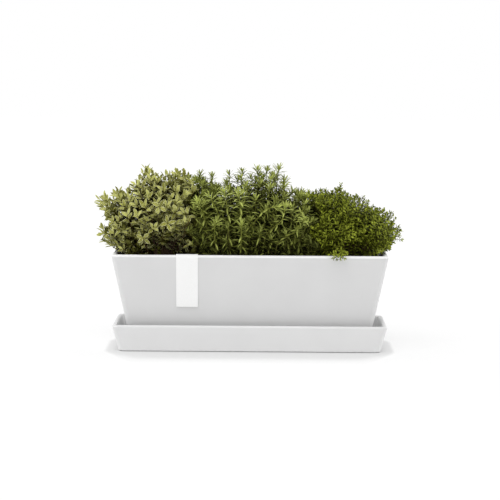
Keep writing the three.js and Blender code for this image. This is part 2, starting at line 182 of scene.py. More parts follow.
def card():
    """Uncoated white card with its fibres."""
    made, tree, shader = material("card", 0.85, 0.2)
    fibres = noise(tree, 1400.0, 5.0, 1.2)
    colour = ramp(tree, fibres, [(0.3, (0.91, 0.91, 0.905)), (0.7, (0.97, 0.97, 0.965))])
    tree.links.new(colour, shader.inputs["Base Color"])
    bump(tree, shader, fibres, 0.25, 0.05 * MM)
    return made


def compost():
    """Moist potting compost: dark brown crumbs, some of them paler."""
    made, tree, shader = material("compost", 0.9, 0.25)
    crumbs = noise(tree, 420.0, 6.0, 0.6)
    stops = [(0.3, (0.006, 0.004, 0.003)), (0.5, (0.02, 0.013, 0.008)), (0.66, (0.05, 0.032, 0.019))]
    tree.links.new(ramp(tree, crumbs, stops), shader.inputs["Base Color"])
    bump(tree, shader, crumbs, 0.9, 0.8 * MM)
    return made


def root_bark():
    """Fine pale roots on the outside of a root ball."""
    made, tree, shader = material("roots", 0.7, 0.3)
    colour = ramp(tree, noise(tree, 300.0), [(0.3, (0.2, 0.14, 0.085)), (0.7, (0.42, 0.33, 0.22))])
    tree.links.new(colour, shader.inputs["Base Color"])
    return made


def leaf_parts(tree):
    """What the leaf and stem meshes carry: tone from old to young, and 0 at the midrib to 1 at the edge."""
    stored = node(tree, "ShaderNodeAttribute", attribute_name="leaf")
    split = node(tree, "ShaderNodeSeparateColor", {"Color": stored.outputs["Color"]})
    return split.outputs["Red"], split.outputs["Green"]


WHITE, BLACK = (1.0, 1.0, 1.0), (0.0, 0.0, 0.0)
MIDRIB, MIDRIB_PALER = 0.16, 1.25
MARGIN_FROM, MARGIN_BLEND, MARGIN_RAGGED = 0.7, 0.12, 0.16


def leaf_material(name, tones, margin, shine):
    """Leaves: coloured by age, with a lighter midrib, blotches, and a pale margin if they have one."""
    made, tree, shader = material(name, 0.5, shine)
    tone, edge = leaf_parts(tree)
    blotches = spread(tree, noise(tree, 260.0, 3.0), 0.62, 1.38)
    colour = brightened(tree, ramp(tree, tone, tones), blotches)
    midrib = ramp(tree, edge, [(0.0, WHITE), (MIDRIB, BLACK)])
    young = tones[-1][1]
    colour = blend(tree, midrib, colour, tuple(min(1.0, c * MIDRIB_PALER) for c in young))
    if margin:
        strays = spread(tree, noise(tree, 700.0), -MARGIN_RAGGED, MARGIN_RAGGED)
        stops = [(MARGIN_FROM, BLACK), (MARGIN_FROM + MARGIN_BLEND, WHITE)]
        colour = blend(tree, ramp(tree, maths(tree, "ADD", edge, strays), stops), colour, margin)
    tree.links.new(colour, shader.inputs["Base Color"])
    veins = maths(tree, "MULTIPLY", edge, noise(tree, 900.0))
    bump(tree, shader, veins, 0.4, 0.15 * MM)
    return made


def shaded(tones, share):
    """The same tones, darker."""
    return [(position, tuple(c * share for c in colour)) for position, colour in tones]


def stem_material(name, woody, green):
    """Stems: woody below and green at the tips."""
    made, tree, shader = material(name, 0.55, 0.14)
    tone, _ = leaf_parts(tree)
    uneven = spread(tree, noise(tree, 500.0), 0.7, 1.3)
    colour = brightened(tree, blend(tree, tone, woody, green), uneven)
    tree.links.new(colour, shader.inputs["Base Color"])
    return made


# Meshes

MERGE = 0.002 * MM
SHELL_FLAT, SOIL_FLAT = 0.6, 1.0  # degrees of bend below which an edge of the CAD's surface goes
SHELL_SHARP, LEAF_SHARP, STEM_SHARP = 40.0, 50.0, 60.0  # degrees of bend above which an edge stays sharp


def put_in_scene(thing):
    bpy.context.scene.collection.objects.link(thing)


def new_piece(name, mesh, body, slot, replaced, finish):
    """Puts a mesh in the scene as a piece that rides on a body and stands for a node."""
    piece = bpy.data.objects.new(name, mesh)
    put_in_scene(piece)
    mesh.materials.append(finish)
    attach(piece, body)
    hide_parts(replaced)
    return piece


def mesh_of(name, points, faces):
    """A mesh with these points and faces."""
    mesh = bpy.data.meshes.new(name)
    mesh.from_pydata(np.asarray(points).tolist(), [], faces)
    return mesh


def cad_copy(node_name, degrees):
    """A copy of a node's mesh, and its surface to work on: with doubles merged, and without the edges that
    bend by less than these degrees."""
    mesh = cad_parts[node_name].data.copy()
    mesh.materials.clear()
    work = bmesh.new()
    work.from_mesh(mesh)
    bmesh.ops.remove_doubles(work, verts=work.verts, dist=MERGE)
    bmesh.ops.dissolve_limit(work, angle_limit=math.radians(degrees), verts=work.verts, edges=work.edges)
    return mesh, work


def write_back(mesh, work):
    """Puts a worked surface back in its mesh, without the normals of the old one."""
    work.to_mesh(mesh)
    work.free()
    for attribute in list(mesh.attributes):
        if attribute.name == "custom_normal":
            mesh.attributes.remove(attribute)


def smooth_by_angle(mesh, degrees):
    """Smooth shading, with the edges that bend by more left sharp."""
    mesh.shade_smooth()
    mesh.set_sharp_from_angle(angle=math.radians(degrees))


def store_leaf_parts(mesh, parts):
    """Keeps tone and edge for each point, for the leaf and stem materials."""
    stored = mesh.color_attributes.new("leaf", "FLOAT_COLOR", "POINT")
    rows = np.ones((len(parts), 4), np.float32)
    rows[:, :2] = parts
    stored.data.foreach_set("color", rows.ravel())


def unit(vectors):
    """Vectors scaled to length 1."""
    vectors = np.asarray(vectors, float)
    return vectors / np.maximum(np.linalg.norm(vectors, axis=-1, keepdims=True), 1e-12)


# The pot and the saucer: the CAD's own surface, with its rounds shaded smooth

def smooth_shell(node_name, piece_name, body, slot, finish):
    mesh, work = cad_copy(node_name, SHELL_FLAT)
    write_back(mesh, work)
    smooth_by_angle(mesh, SHELL_SHARP)
    piece = new_piece(piece_name, mesh, body, slot, node_name, finish)
    weighted = piece.modifiers.new("weighted", "WEIGHTED_NORMAL")
    weighted.keep_sharp = True
    weighted.weight = 100


# The label: a card strip over the front rim, standing a little off the wall at its free end

LABEL_THICKNESS, LABEL_CLEARANCE = 0.45 * MM, 0.32 * MM
LABEL_CURL = 0.9 * MM
LABEL_CURL_FROM = 0.25  # where the curl starts, as a share of the way down outside
LABEL_TUCK = 7.4 * MM
LABEL_ROWS, LABEL_FOLD_ROWS, LABEL_TUCK_ROWS, LABEL_COLUMNS = 22, 7, 4, 9


def label_line(distance):
    """The strip's line seen from its side, as (y, z): up the outer face, over the rim, down inside."""
    lean = math.atan(POT_TAPER)
    slant = math.cos(lean)
    radius = RIM_ROUND + distance
    centre_z = rim_height - RIM_ROUND
    outer = FACE + POT_TAPER * RIM_ROUND + RIM_ROUND / slant
    inner = FACE + POT_TAPER * RIM_ROUND + WALL - RIM_ROUND / slant
    line = []
    drop = rim_height - label_low.z
    for share in np.linspace(1.0, 0.06, LABEL_ROWS):
        z = rim_height - drop * share
        off = distance / slant + LABEL_CURL * max(0.0, share - LABEL_CURL_FROM) ** 2
        line.append((FACE + POT_TAPER * (rim_height - z) - off, z))
    for middle, start, end in ((outer, math.pi + lean, math.pi / 2), (inner, math.pi / 2, lean)):
        for angle in np.linspace(start, end, LABEL_FOLD_ROWS):
            line.append((middle + radius * math.cos(angle), centre_z + radius * math.sin(angle)))
    for share in np.linspace(0.45, 1.0, LABEL_TUCK_ROWS):
        z = rim_height - LABEL_TUCK * share
        line.append((FACE + WALL + POT_TAPER * (rim_height - z) + distance / slant, z))
    return line


def make_label(finish):
    """The strip between its outer and its inner line, closed at its ends and sides."""
    outer = label_line(LABEL_CLEARANCE + LABEL_THICKNESS)
    inner = label_line(LABEL_CLEARANCE)
    count = len(outer)
    across = np.linspace(label_low.x, label_high.x, LABEL_COLUMNS)
    points = [(x, y, z) for x in across for y, z in outer + inner]
    faces = []
    for i in range(len(across) - 1):
        a, b = i * 2 * count, (i + 1) * 2 * count
        for j in range(count - 1):
            faces.append((a + j, b + j, b + j + 1, a + j + 1))
            c, d = a + count, b + count
            faces.append((c + j, c + j + 1, d + j + 1, d + j))
        faces.append((a, a + count, b + count, b))
        last = count - 1
        faces.append((a + last, b + last, b + count + last, a + count + last))
    end = (len(across) - 1) * 2 * count
    for j in range(count - 1):
        faces.append((j, j + 1, count + j + 1, count + j))
        faces.append((end + j, end + count + j, end + count + j + 1, end + j + 1))
    mesh = mesh_of("label", points, faces)
    work = bmesh.new()
    work.from_mesh(mesh)
    bmesh.ops.recalc_face_normals(work, faces=work.faces)
    write_back(mesh, work)
    smooth_by_angle(mesh, SHELL_SHARP)
    new_piece("label", mesh, "pot", "card", "label_card", finish)


# Root balls

LENGTH_STEP, DEPTH_STEPS, HEIGHT_STEPS = 2.2 * MM, 34, 28  # how finely a root ball is cut
WAVES, WAVE_RATE = 14, 900  # the waves that make its surface rough, and their rate in radians a metre
TOP_FROM = 2.5 * MM  # how far its rough top reaches down
TOP_SINK, TOP_ROUGH = 1.1, 1.6
SIDE_SINK, SIDE_ROUGH, SIDE_LEAST = 0.55 * MM, 0.7 * MM, 0.1 * MM
ROOTS = 420
ROOT_START, ROOT_TOP, ROOT_FOOT = 5 * MM, 3 * MM, 1 * MM  # how far from the top and the foot roots stay
ROOT_STEP, ROOT_STEPS, ROOT_LEAST = 1.8 * MM, (6, 26), 4
ROOT_RADIUS, ROOT_DEPTH = 0.24 * MM, 0.5 * MM


def make_roots(side, body, finish, seed):
    """Fine roots on the outside of a root ball."""
    random = np.random.default_rng(seed)
    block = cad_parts[f"root_ball_{side}"].data
    block = BVHTree.FromPolygons([v.co for v in block.vertices], [p.vertices for p in block.polygons])
    low, high = (np.array(corner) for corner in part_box(f"root_ball_{side}"))
    lines = []
    for _ in range(ROOTS):
        turn = random.uniform(0, 2 * math.pi)
        around = np.array([math.cos(turn), math.sin(turn), 0.0]) * (high - low)
        place = (low + high) / 2 + around
        place[2] = random.uniform(low[2], high[2] - ROOT_START)
        sideways = random.uniform(-1, 1)
        line = []
        for _ in range(random.integers(*ROOT_STEPS)):
            at, normal, _, _ = block.find_nearest(Vector(place))
            at, normal = np.array(at), np.array(normal)
            if at[2] > high[2] - ROOT_TOP or at[2] < low[2] + ROOT_FOOT:
                break
            line.append(at - normal * ROOT_DEPTH)
            sideways = np.clip(sideways + random.normal(0, 0.6), -1.8, 1.8)
            place = at + ROOT_STEP * unit(sideways * np.cross(normal, UP) - UP * random.uniform(0.1, 1.0))
        if len(line) > ROOT_LEAST:
            radii = np.linspace(ROOT_RADIUS * random.uniform(0.5, 1.0) ** 2, ROOT_RADIUS * 0.25, len(line))
            lines.append((np.array(line), radii, np.full(len(line), random.uniform(0, 1))))
    name = f"root_ball_{side}_roots"
    new_piece(name, stem_mesh(name, lines), body, "soil", f"root_ball_{side}", finish)


def make_root_ball(side, body, finish, seed):
    """Compost held by its roots: the CAD block cut fine, rough on top and nearly smooth on its sides."""
    random = np.random.default_rng(seed)
    name = f"root_ball_{side}"
    low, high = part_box(name)
    mesh, work = cad_copy(name, SOIL_FLAT)
    for axis, count in enumerate((int((high.x - low.x) / LENGTH_STEP), DEPTH_STEPS, HEIGHT_STEPS)):
        normal = Vector([float(i == axis) for i in range(3)])
        for i in range(1, count):
            at = low.lerp(high, i / count)
            geometry = work.verts[:] + work.edges[:] + work.faces[:]
            bmesh.ops.bisect_plane(work, geom=geometry, plane_co=at, plane_no=normal)
    bmesh.ops.triangulate(work, faces=work.faces)
    work.normal_update()
    waves = [(random.uniform(-1, 1, 3) * WAVE_RATE, random.uniform(0, 6.28)) for _ in range(WAVES)]
    moves = []
    for vertex in work.verts:
        rough = sum(math.sin(np.array(vertex.co) @ wave + phase) for wave, phase in waves) / WAVES
        if vertex.co.z > high.z - TOP_FROM:
            moves.append(Vector((0, 0, (rough * TOP_ROUGH - TOP_SINK) * MM)))
        else:
            moves.append(-vertex.normal * max(SIDE_LEAST, SIDE_SINK + SIDE_ROUGH * rough))
    for vertex, move in zip(work.verts, moves):
        vertex.co += move
    write_back(mesh, work)
    mesh.shade_smooth()
    new_piece(name + "_soil", mesh, body, "soil", name, finish)


# Leaves: closed lens-shaped blades, folded along the midrib and bent along their length

# Stations between the foot and the tip of a leaf: (share of its length, share of its width)
LEAF_SHAPES = {
    "oval": ((0.16, 0.42), (0.42, 1.0), (0.74, 0.8)),
    "narrow": ((0.2, 0.8), (0.52, 1.0), (0.82, 0.7)),
    "small": ((0.3, 0.92), (0.7, 0.86)),
}
LEAF_THICKNESS = 0.09  # as a share of its width
FOOT_EDGE, TIP_EDGE = 0.35, 0.85  # how near its edge a leaf's foot and tip count, from 0 to 1
STEM_SIDES = 5
ASKEW = (0.31, 0.94, 0.13)  # a direction that no stem runs in


def leaf_mesh(name, leaves, shape):
    """One mesh of many leaves. leaves holds for each its base, along, across, length, width, bend, fold and
    tone."""
    stations = LEAF_SHAPES[shape]
    base, along, across = leaves["base"], leaves["along"], leaves["across"]
    normal = np.cross(across, along)
    length, width = leaves["length"][:, None], leaves["width"][:, None]
    bend, fold = leaves["bend"][:, None], leaves["fold"][:, None]
    half = normal * (LEAF_THICKNESS * width) / 2

    def spine(share):
        return base + along * length * share - normal * bend * length * share**2

    rows, edges = [base], [FOOT_EDGE]
    for share, breadth in stations:
        middle = spine(share)
        side = across * width * breadth / 2
        lift = normal * fold * width * breadth / 2
        rows += [middle - side + lift, middle + half, middle + side + lift, middle - half]
        edges += [1.0, 0.0, 1.0, 0.0]
    rows.append(spine(1.0))
    edges.append(TIP_EDGE)
    count, per = len(base), len(rows)
    points = np.stack(rows, 1).reshape(-1, 3)
    tip = per - 1

    def sides(start):
        left, top, right, under = range(start, start + 4)
        return (top, right), (left, top), (right, under), (under, left)

    pattern = [(0, b, a) for a, b in sides(1)]
    for s in range(len(stations) - 1):
        pattern += [(a, b, b + 4, a + 4) for a, b in sides(1 + 4 * s)]
    pattern += [(a, b, tip) for a, b in sides(tip - 4)]
    faces = [tuple(i * per + k for k in face) for i in range(count) for face in pattern]
    mesh = mesh_of(name, points, faces)
    parts = np.zeros((count, per, 2))
    parts[:, :, 0] = leaves["tone"][:, None]
    parts[:, :, 1] = edges
    store_leaf_parts(mesh, parts.reshape(-1, 2))
    smooth_by_angle(mesh, LEAF_SHARP)
    return mesh


def stem_mesh(name, lines):
    """One mesh of tapered tubes. lines holds for each stem its points, and the radii and tones along it."""
    points, faces, parts = [], [], []
    sides = STEM_SIDES
    turn = np.arange(sides) * 2 * math.pi / sides
    for line, radii, tones in lines:
        tangents = unit(np.gradient(line, axis=0))
        first = unit(np.cross(tangents, ASKEW))
        second = np.cross(tangents, first)
        start = len(points)
        for at, r, u, v, tone in zip(line, radii, first, second, tones):
            points.extend(at + r * (math.cos(a) * u + math.sin(a) * v) for a in turn)
            parts.extend([(tone, 0.5)] * sides)
        rings = len(line)
        for i in range(rings - 1):
            for j in range(sides):
                a, b = start + i * sides + j, start + i * sides + (j + 1) % sides
                faces.append((a, b, b + sides, a + sides))
        faces.append(tuple(start + j for j in reversed(range(sides))))
        faces.append(tuple(start + (rings - 1) * sides + j for j in range(sides)))
    mesh = mesh_of(name, points, faces)
    store_leaf_parts(mesh, np.asarray(parts))
    smooth_by_angle(mesh, STEM_SHARP)
    return mesh


# Plants, in millimetres, with heights from the rim:
# outline: the tips of the shoots seen from the front, as (x, height), from the right foot over the top to
#   the left. It runs on past the line where a neighbour begins, and what lies beyond that is left off.
# centre, depth: the dome's middle in that view, and how far it reaches to the front and the back
# rooting: where a stem leaves the soil as a share of where it ends, along X and Y, from the middle
# spacing, sparser: the distance between shoots on the dome, and how many times that it is inside
# leafy, pitch: how much of a stem has leaves, and the distance from one pair or whorl to the next
# around, crowded: the leaves in one, and how many times that near the tip
# leaf, smaller: the largest leaf, and how much smaller one at a closed tip is
# open: the angle between a leaf and its stem in degrees, and the same at a closed tip
# tones: from 0, old, to 1, young: a usual one, its fall down the shoot, its rise at the tip, its unevenness
# shade: painted shade: how much darker leaves and stems are at the rim, from none at SHADE_HEIGHT;
#   below 0 it paints light there instead
# inner_width: how many times wider inner leaves are: the outermost, and how much more the innermost
# hollows: where no shoot ends in the front half, as (x, height, reach)
# outward: how far shoots lean away from the middle, from 0, straight up, to 1
# stem: the radius of a stem, which falls towards its tip
# sprigs: single shoots: the tip, where it points, the size of its leaves, and OPEN if they spread wide
# branches: long shoots in front of the rest, by points along them, as (x, height)

OPEN = "open"
PLANTS = {
    "left": {
        "node": "thyme_variegated", "slot": "pale_leaves", "sparser": 1.2,
        "outline": [
            (-20, 1.5), (-24, 37.5), (-36, 63.5), (-50, 69.5), (-66, 71), (-76, 70.5), (-87, 71.5),
            (-96, 74.5), (-103, 64.5), (-110, 52.5), (-121, 53.5), (-131, 51.5), (-139, 45.5), (-135, 35.5),
            (-132, 25.5), (-138, 17.5), (-137, 10.5), (-131, 3.5),
        ],
        "centre": (-92, 17.5), "depth": 39, "rooting": (0.5, 0.6), "spacing": 8.8, "leafy": 44,
        "pitch": 4.6, "around": 2, "crowded": 1,
        "leaf": {"length": 9.2, "width": 3.9, "bend": 0.22, "fold": 0.28, "shape": "oval"},
        "smaller": 0.24, "tones": (0.5, 0.4, 0.3, 0.2), "inner_width": (1.0, 1.2), "shade": 0.22,
        "hollows": [(-66, 8.5, 12), (-76, 2, 10), (-107, 29.5, 6)],
        "open": (68, 30), "outward": 0.6, "stem": 0.55,
        "sprigs": [
            ((-97, -4, 75.5), (0, -0.1, 1), 1.05), ((-57, -8, 71.5), (0.15, -0.1, 1), 1.2),
            ((-82.5, -48, 45), (0, -1, 0.1), 0.85, OPEN), ((-75, -49, 30), (0.25, -1, 0.1), 0.85, OPEN),
            ((-139, -12, 47.5), (-1, -0.1, 0.45), 1), ((-137, -8, 15.5), (-1, -0.2, -0.12), 1),
            ((-97, -47, 16), (0.1, -0.8, 0.2), 0.8, OPEN), ((-117, -36, 5), (-0.4, -0.7, 0.2), 0.8),
            ((-119, -26, 5), (-0.8, -0.4, 0.2), 0.8),
        ],
        "branches": [],
    },
    "middle": {
        "node": "savory", "slot": "narrow_leaves", "sparser": 0.8,
        "outline": [
            (84, 1.5), (82, 29.5), (70, 47.5), (52, 50.5), (40, 56.5), (30, 67.5), (20, 71.5), (4, 70.5),
            (-8, 68.5), (-19, 66.5), (-27, 60.5), (-38, 63.5), (-48, 68.5), (-62, 65.5), (-80, 41.5),
            (-84, 1.5),
        ],
        "centre": (0, 15.5), "depth": 38, "rooting": (0.86, 0.72), "spacing": 11.0, "leafy": 62,
        "pitch": 3.2, "around": 3, "crowded": 2,
        "leaf": {"length": 9.8, "width": 1.7, "bend": 0.4, "fold": 0.3, "shape": "narrow"},
        "smaller": 0.34, "tones": (0.48, 0.45, 0.3, 0.18), "inner_width": (1.7, 1.8), "shade": -0.14,
        "hollows": [],
        "open": (74, 30), "outward": 0.28, "stem": 0.6,
        "sprigs": [
            ((-47, -6, 71.5), (0.1, 0, 1), 1), ((-36, -4, 70), (0.1, 0, 1), 0.9),
            ((-20, -10, 71.5), (-0.1, 0, 1), 1), ((-8, 0, 73.5), (0.05, -0.1, 1), 1),
            ((6, -12, 76), (0, 0, 1), 1.1), ((15, 2, 75.5), (0.1, 0, 1), 1),
            ((26, -8, 77.5), (0.12, -0.1, 1), 1.1),
        ],
        "branches": [
            [(-9, 3), (-8, 14), (-8, 29)], [(-5, 21), (7, 34), (13, 43), (25, 45)],
            [(14, 19), (22, 26), (30, 33), (32, 45)], [(25, 12), (39, 20), (47, 29), (51, 35)],
            [(43, 32), (46, 39), (50, 46)], [(-40, 28), (-43, 37), (-48, 49)],
            [(-29, 29), (-29, 39), (-37, 54)], [(-20, 24), (-20, 37), (-22, 49), (-24, 58)],
            [(-9, 33), (-9, 44), (-11, 58)], [(-32, 9), (-33, 22), (-31, 31)],
        ],
    },
    "right": {
        "node": "thyme_green", "slot": "green_leaves", "sparser": 1.45,
        "outline": [
            (131, 3.5), (136, 11.5), (139, 19.5), (132, 27.5), (129, 35.5), (118, 39.5), (108, 42.5),
            (98, 48.5), (88, 54.5), (81, 59.5), (75, 55.5), (64, 54.5), (48, 51.5), (30, 39.5), (28, 1.5),
        ],
        "centre": (92, 13.5), "depth": 39, "rooting": (0.5, 0.6), "spacing": 4.5, "leafy": 20, "pitch": 2.1,
        "around": 2, "crowded": 1,
        "leaf": {"length": 4.6, "width": 1.8, "bend": 0.18, "fold": 0.25, "shape": "small"},
        "smaller": 0.3, "tones": (0.5, 0.3, 0.12, 0.22), "inner_width": (1.2, 1.5), "shade": -0.12,
        "hollows": [],
        "open": (70, 30), "outward": 0.6, "stem": 0.4,
        "sprigs": [
            ((84, -2, 63), (0, 0, 1), 1), ((131, -4, 36.5), (0.5, 0, 1), 1),
            ((140, -6, 20.5), (1, 0, 0.2), 1), ((141, 0, 11.5), (1, 0, -0.1), 1),
            ((76, -46, -1.2), (-0.3, -0.6, -0.6), 0.9), ((79, -46.5, -1.8), (-0.1, -0.6, -0.7), 0.9),
            ((82.5, -46.5, -1.6), (0.1, -0.6, -0.7), 0.9), ((86, -46, -1.4), (0.3, -0.6, -0.6), 0.9),
            ((73, -45, 2), (-0.6, -0.8, 0), 0.9), ((77.5, -46, 1.5), (-0.2, -0.9, 0), 1),
            ((81, -46.5, 1.5), (0, -0.9, 0), 1), ((84.5, -46, 1.5), (0.2, -0.9, 0), 1),
            ((88, -45, 2.5), (0.5, -0.8, 0.1), 0.9), ((83, -46, 5), (0.1, -0.9, 0.2), 1),
            ((117, -37, 3.5), (0.3, -0.8, 0.1), 1), ((120, -31, 3.5), (0.7, -0.5, 0), 1),
            ((122, -22, 4), (1, -0.2, 0), 1), ((122, -8, 4), (1, 0, 0), 1),
        ],
        "branches": [[(77, 6), (86, 14), (95, 20)]],
    },
}
# How many places are tried for shoots on the dome and inside it, and how far out the inner ones reach
SURFACE_TRIES, VOLUME_TRIES, VOLUME_SHARE = 14000, 9000, 0.86
VOLUME_FOOT, WALL_GAP = -4, 3  # how far down they go, and how far from the walls the undergrowth stays
# Undergrowth fills the plants' feet, and more shoots stand beside each neighbour
LOW_FOOT, LOW_TOP, LOW_SPACING = 4.0, 23.0, 7.5
SEAM_WIDTH, SEAM_SPACING, SEAM_CLOSER = 9.0, 5.5, 0.8
# The inner leaves: how many times farther apart the pairs are, and the leaves in one
INNER_PITCH, INNER_AROUND = 1.2, 2
# The dome: narrower just above the rim, squarer than a ball, and with clumps
NARROW_FROM, NARROW_TO, NARROW_SHARE = 1.5, 25.5, 0.8
SQUARE_FRONT, SQUARE_SIDE = 0.72, 0.78
CLUMP, CLUMP_SINK, CLUMP_SIZE = 8.0, 1.5, 19.0
FACING_X, FACING_Z = 45.0, 52.0  # half the length and height of the ball that shoots point out of
# Where two plants meet: places along X, and the waves of the sheet between them
LEFT_MEETING, RIGHT_MEETING = -55.0, 56.0
WAVE, WAVE_LENGTH = 7.0, 34.0
RIPPLE, RIPPLE_LENGTH = 5.0, 27.0
SHOOT_GAP, TURN_GAP, LEAF_GAP = 1.0, 0.8, 0.3  # how far shoots, turned leaves and leaves stay from it
SHADE_HEIGHT = 26.0
# A branch is brighter for its fresh growth, and by painted light on these low shoots in front
FRESH_AND_LIT = 0.3  # how much brighter a branch is
BRANCH_FROM, BRANCH_TO = -35.0, -44.0  # how far forward a branch starts and ends
HANDLE, LEAN = 0.42, 0.1  # how a stem bends: straight up, then out to its tip
THICK, TAPER = 1.15, 0.7  # a stem's radius at its foot, and how much of that it loses
LEAFY_MOST, LEAFLESS = 0.85, 4  # the most of a stem that has leaves, and how much of its foot has none
CROWDED_ROWS = 3  # how many rows of leaves are crowded at the tip, and closer together
OPENING, AGEING = 0.3, 0.2  # how much leaves open from row to row, and shrink from the tip down
# How much darker an inner shoot's leaves are by their depth: painted shade inside the plant, and partly
# their age
INNER_PAINTED_SHADE = 0.7
WANDER, TURN_WANDER, TILT_WANDER = 0.2, 0.16, 0.13  # how unevenly shoots point and leaves stand
STEM_FOOT, STEM_EDGE = 2.0, 4.0  # how deep in the soil stems start, and how far from its side
MOUTH_X, MOUTH_Y = 120.5, 36.0  # the pot's mouth, from its middle
OVER_RIM, OVER_SOIL = 1.2, -1.5  # how high leaves stay over the rim and, inside it, over the soil
OVERHANG, OVERHANG_FOOT = -44.2, -9.0  # leaves below the rim outside stay in front of and above these
BARE = 0.56  # a stem that keeps no more than this share of its leaves goes, unless it is a branch or a sprig


def outline_radius(plant, angles):
    """How far a plant's outline is from its centre in each direction of the front view."""
    centre = np.array(plant["centre"], float)
    arms = np.array(plant["outline"], float) - centre
    turned = np.unwrap(np.arctan2(arms[:, 1], arms[:, 0]))
    return np.interp(angles, turned, np.hypot(*arms.T)), turned[0], turned[-1]


def meeting_line(y, z, x):
    """Where two plants meet: a sheet that waves both ways, so that neither a slit nor a line shows."""
    waves = WAVE * np.sin(2 * math.pi * y / WAVE_LENGTH)
    return x + waves + RIPPLE * np.sin(2 * math.pi * z / RIPPLE_LENGTH)


def own_side(places, side, gap):
    """Which places lie on a plant's own side of the line between it and each neighbour."""
    x, y, z = places[..., 0], places[..., 1], places[..., 2]
    left, right = meeting_line(y, z, LEFT_MEETING), meeting_line(y, z, RIGHT_MEETING)
    if side == "left":
        return x < left - gap
    if side == "right":
        return x > right + gap
    return (x > left + gap) & (x < right - gap)


def half_depth(plant, z):
    """How far a plant reaches to the front and to the back at a height: less just above the rim."""
    narrow = np.clip((z - NARROW_FROM) / (NARROW_TO - NARROW_FROM), 0, 1)
    return plant["depth"] * (NARROW_SHARE + (1 - NARROW_SHARE) * narrow)


def surface_places(plant, random):
    """Places on the outside of a plant's dome."""
    _, first, last = outline_radius(plant, 0.0)
    alpha = random.uniform(first, last, SURFACE_TRIES)
    beta = np.arcsin(random.uniform(-1, 1, SURFACE_TRIES))
    radius, _, _ = outline_radius(plant, alpha)
    flat = np.cos(beta) ** SQUARE_SIDE
    z = plant["centre"][1] + radius * flat * np.sin(alpha)
    y = half_depth(plant, z) * np.sign(beta) * np.abs(np.sin(beta)) ** SQUARE_FRONT
    return np.stack([plant["centre"][0] + radius * flat * np.cos(alpha), y, z], 1)


def volume_places(plant, random):
    """Places inside a plant's dome, down to the soil."""
    outline = np.array(plant["outline"], float)
    low = (outline[:, 0].min(), -plant["depth"], VOLUME_FOOT)
    high = (outline[:, 0].max(), plant["depth"], outline[:, 1].max())
    places = random.uniform(low, high, (VOLUME_TRIES, 3))
    return places[dome_share(plant, places) < VOLUME_SHARE]


def by_neighbour(places, side):
    """Of these places, those beside the line between a plant and each neighbour."""
    return places[~own_side(places, side, SEAM_WIDTH)]


def soil_box(side):
    """The corners of a plant's root ball in millimetres."""
    return (np.array(corner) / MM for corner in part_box(f"root_ball_{side}"))


def low_places(side, random):
    """Places for the undergrowth, between the soil and the height where the dome is full."""
    low, high = soil_box(side)
    foot = high[2] - rim_height / MM + LOW_FOOT
    over = WAVE + RIPPLE
    left, right = max(low[0] - over, WALL_GAP - MOUTH_X), min(high[0] + over, MOUTH_X - WALL_GAP)
    front, back = low[1] + WALL_GAP, high[1] - WALL_GAP
    return random.uniform((left, front, foot), (right, back, LOW_TOP), (VOLUME_TRIES, 3))


def dome_share(plant, places):
    """How far out each place is: 0 at a dome's middle line and 1 on its surface."""
    x, y, z = places.T
    arms = x - plant["centre"][0], z - plant["centre"][1]
    _, first, last = outline_radius(plant, 0.0)
    alpha = np.arctan2(arms[1], arms[0])
    alpha = np.where(alpha < first, alpha + 2 * math.pi, alpha)
    radius, _, _ = outline_radius(plant, alpha)
    sideways = (np.hypot(*arms) / radius) ** (2 / SQUARE_SIDE)
    forward = np.abs(y / half_depth(plant, z)) ** (2 / SQUARE_FRONT)
    return (sideways + forward) ** ((SQUARE_SIDE + SQUARE_FRONT) / 4)


def spaced(plant, side, places, spacing):
    """Of these places, those on the plant's own side and not closer together than the spacing."""
    x, y, z = places.T
    mine = own_side(places, side, SHOOT_GAP)
    for hollow_x, hollow_z, reach in plant["hollows"]:
        mine &= (y > 0) | (np.hypot(x - hollow_x, z - hollow_z) > reach)
    places = places[mine]
    kept = []
    for i, place in enumerate(places):
        if not kept or np.min(np.sum((places[kept] - place) ** 2, 1)) > spacing**2:
            kept.append(i)
    return places[kept]


def bezier(a, b, c, d, count):
    """Points along the curve from a to d that leaves towards b and arrives from c."""
    t = np.linspace(0, 1, count)[:, None]
    return (1 - t) ** 3 * a + 3 * t * (1 - t) ** 2 * b + 3 * t**2 * (1 - t) * c + t**3 * d


def rounded(points):
    """A line through these points with its corners cut three times, so that it bends smoothly."""
    line = np.asarray(points, float)
    for _ in range(3):
        near, far = 0.75 * line[:-1] + 0.25 * line[1:], 0.25 * line[:-1] + 0.75 * line[1:]
        line = np.vstack([line[:1], np.stack([near, far], 1).reshape(-1, 3), line[-1:]])
    return line


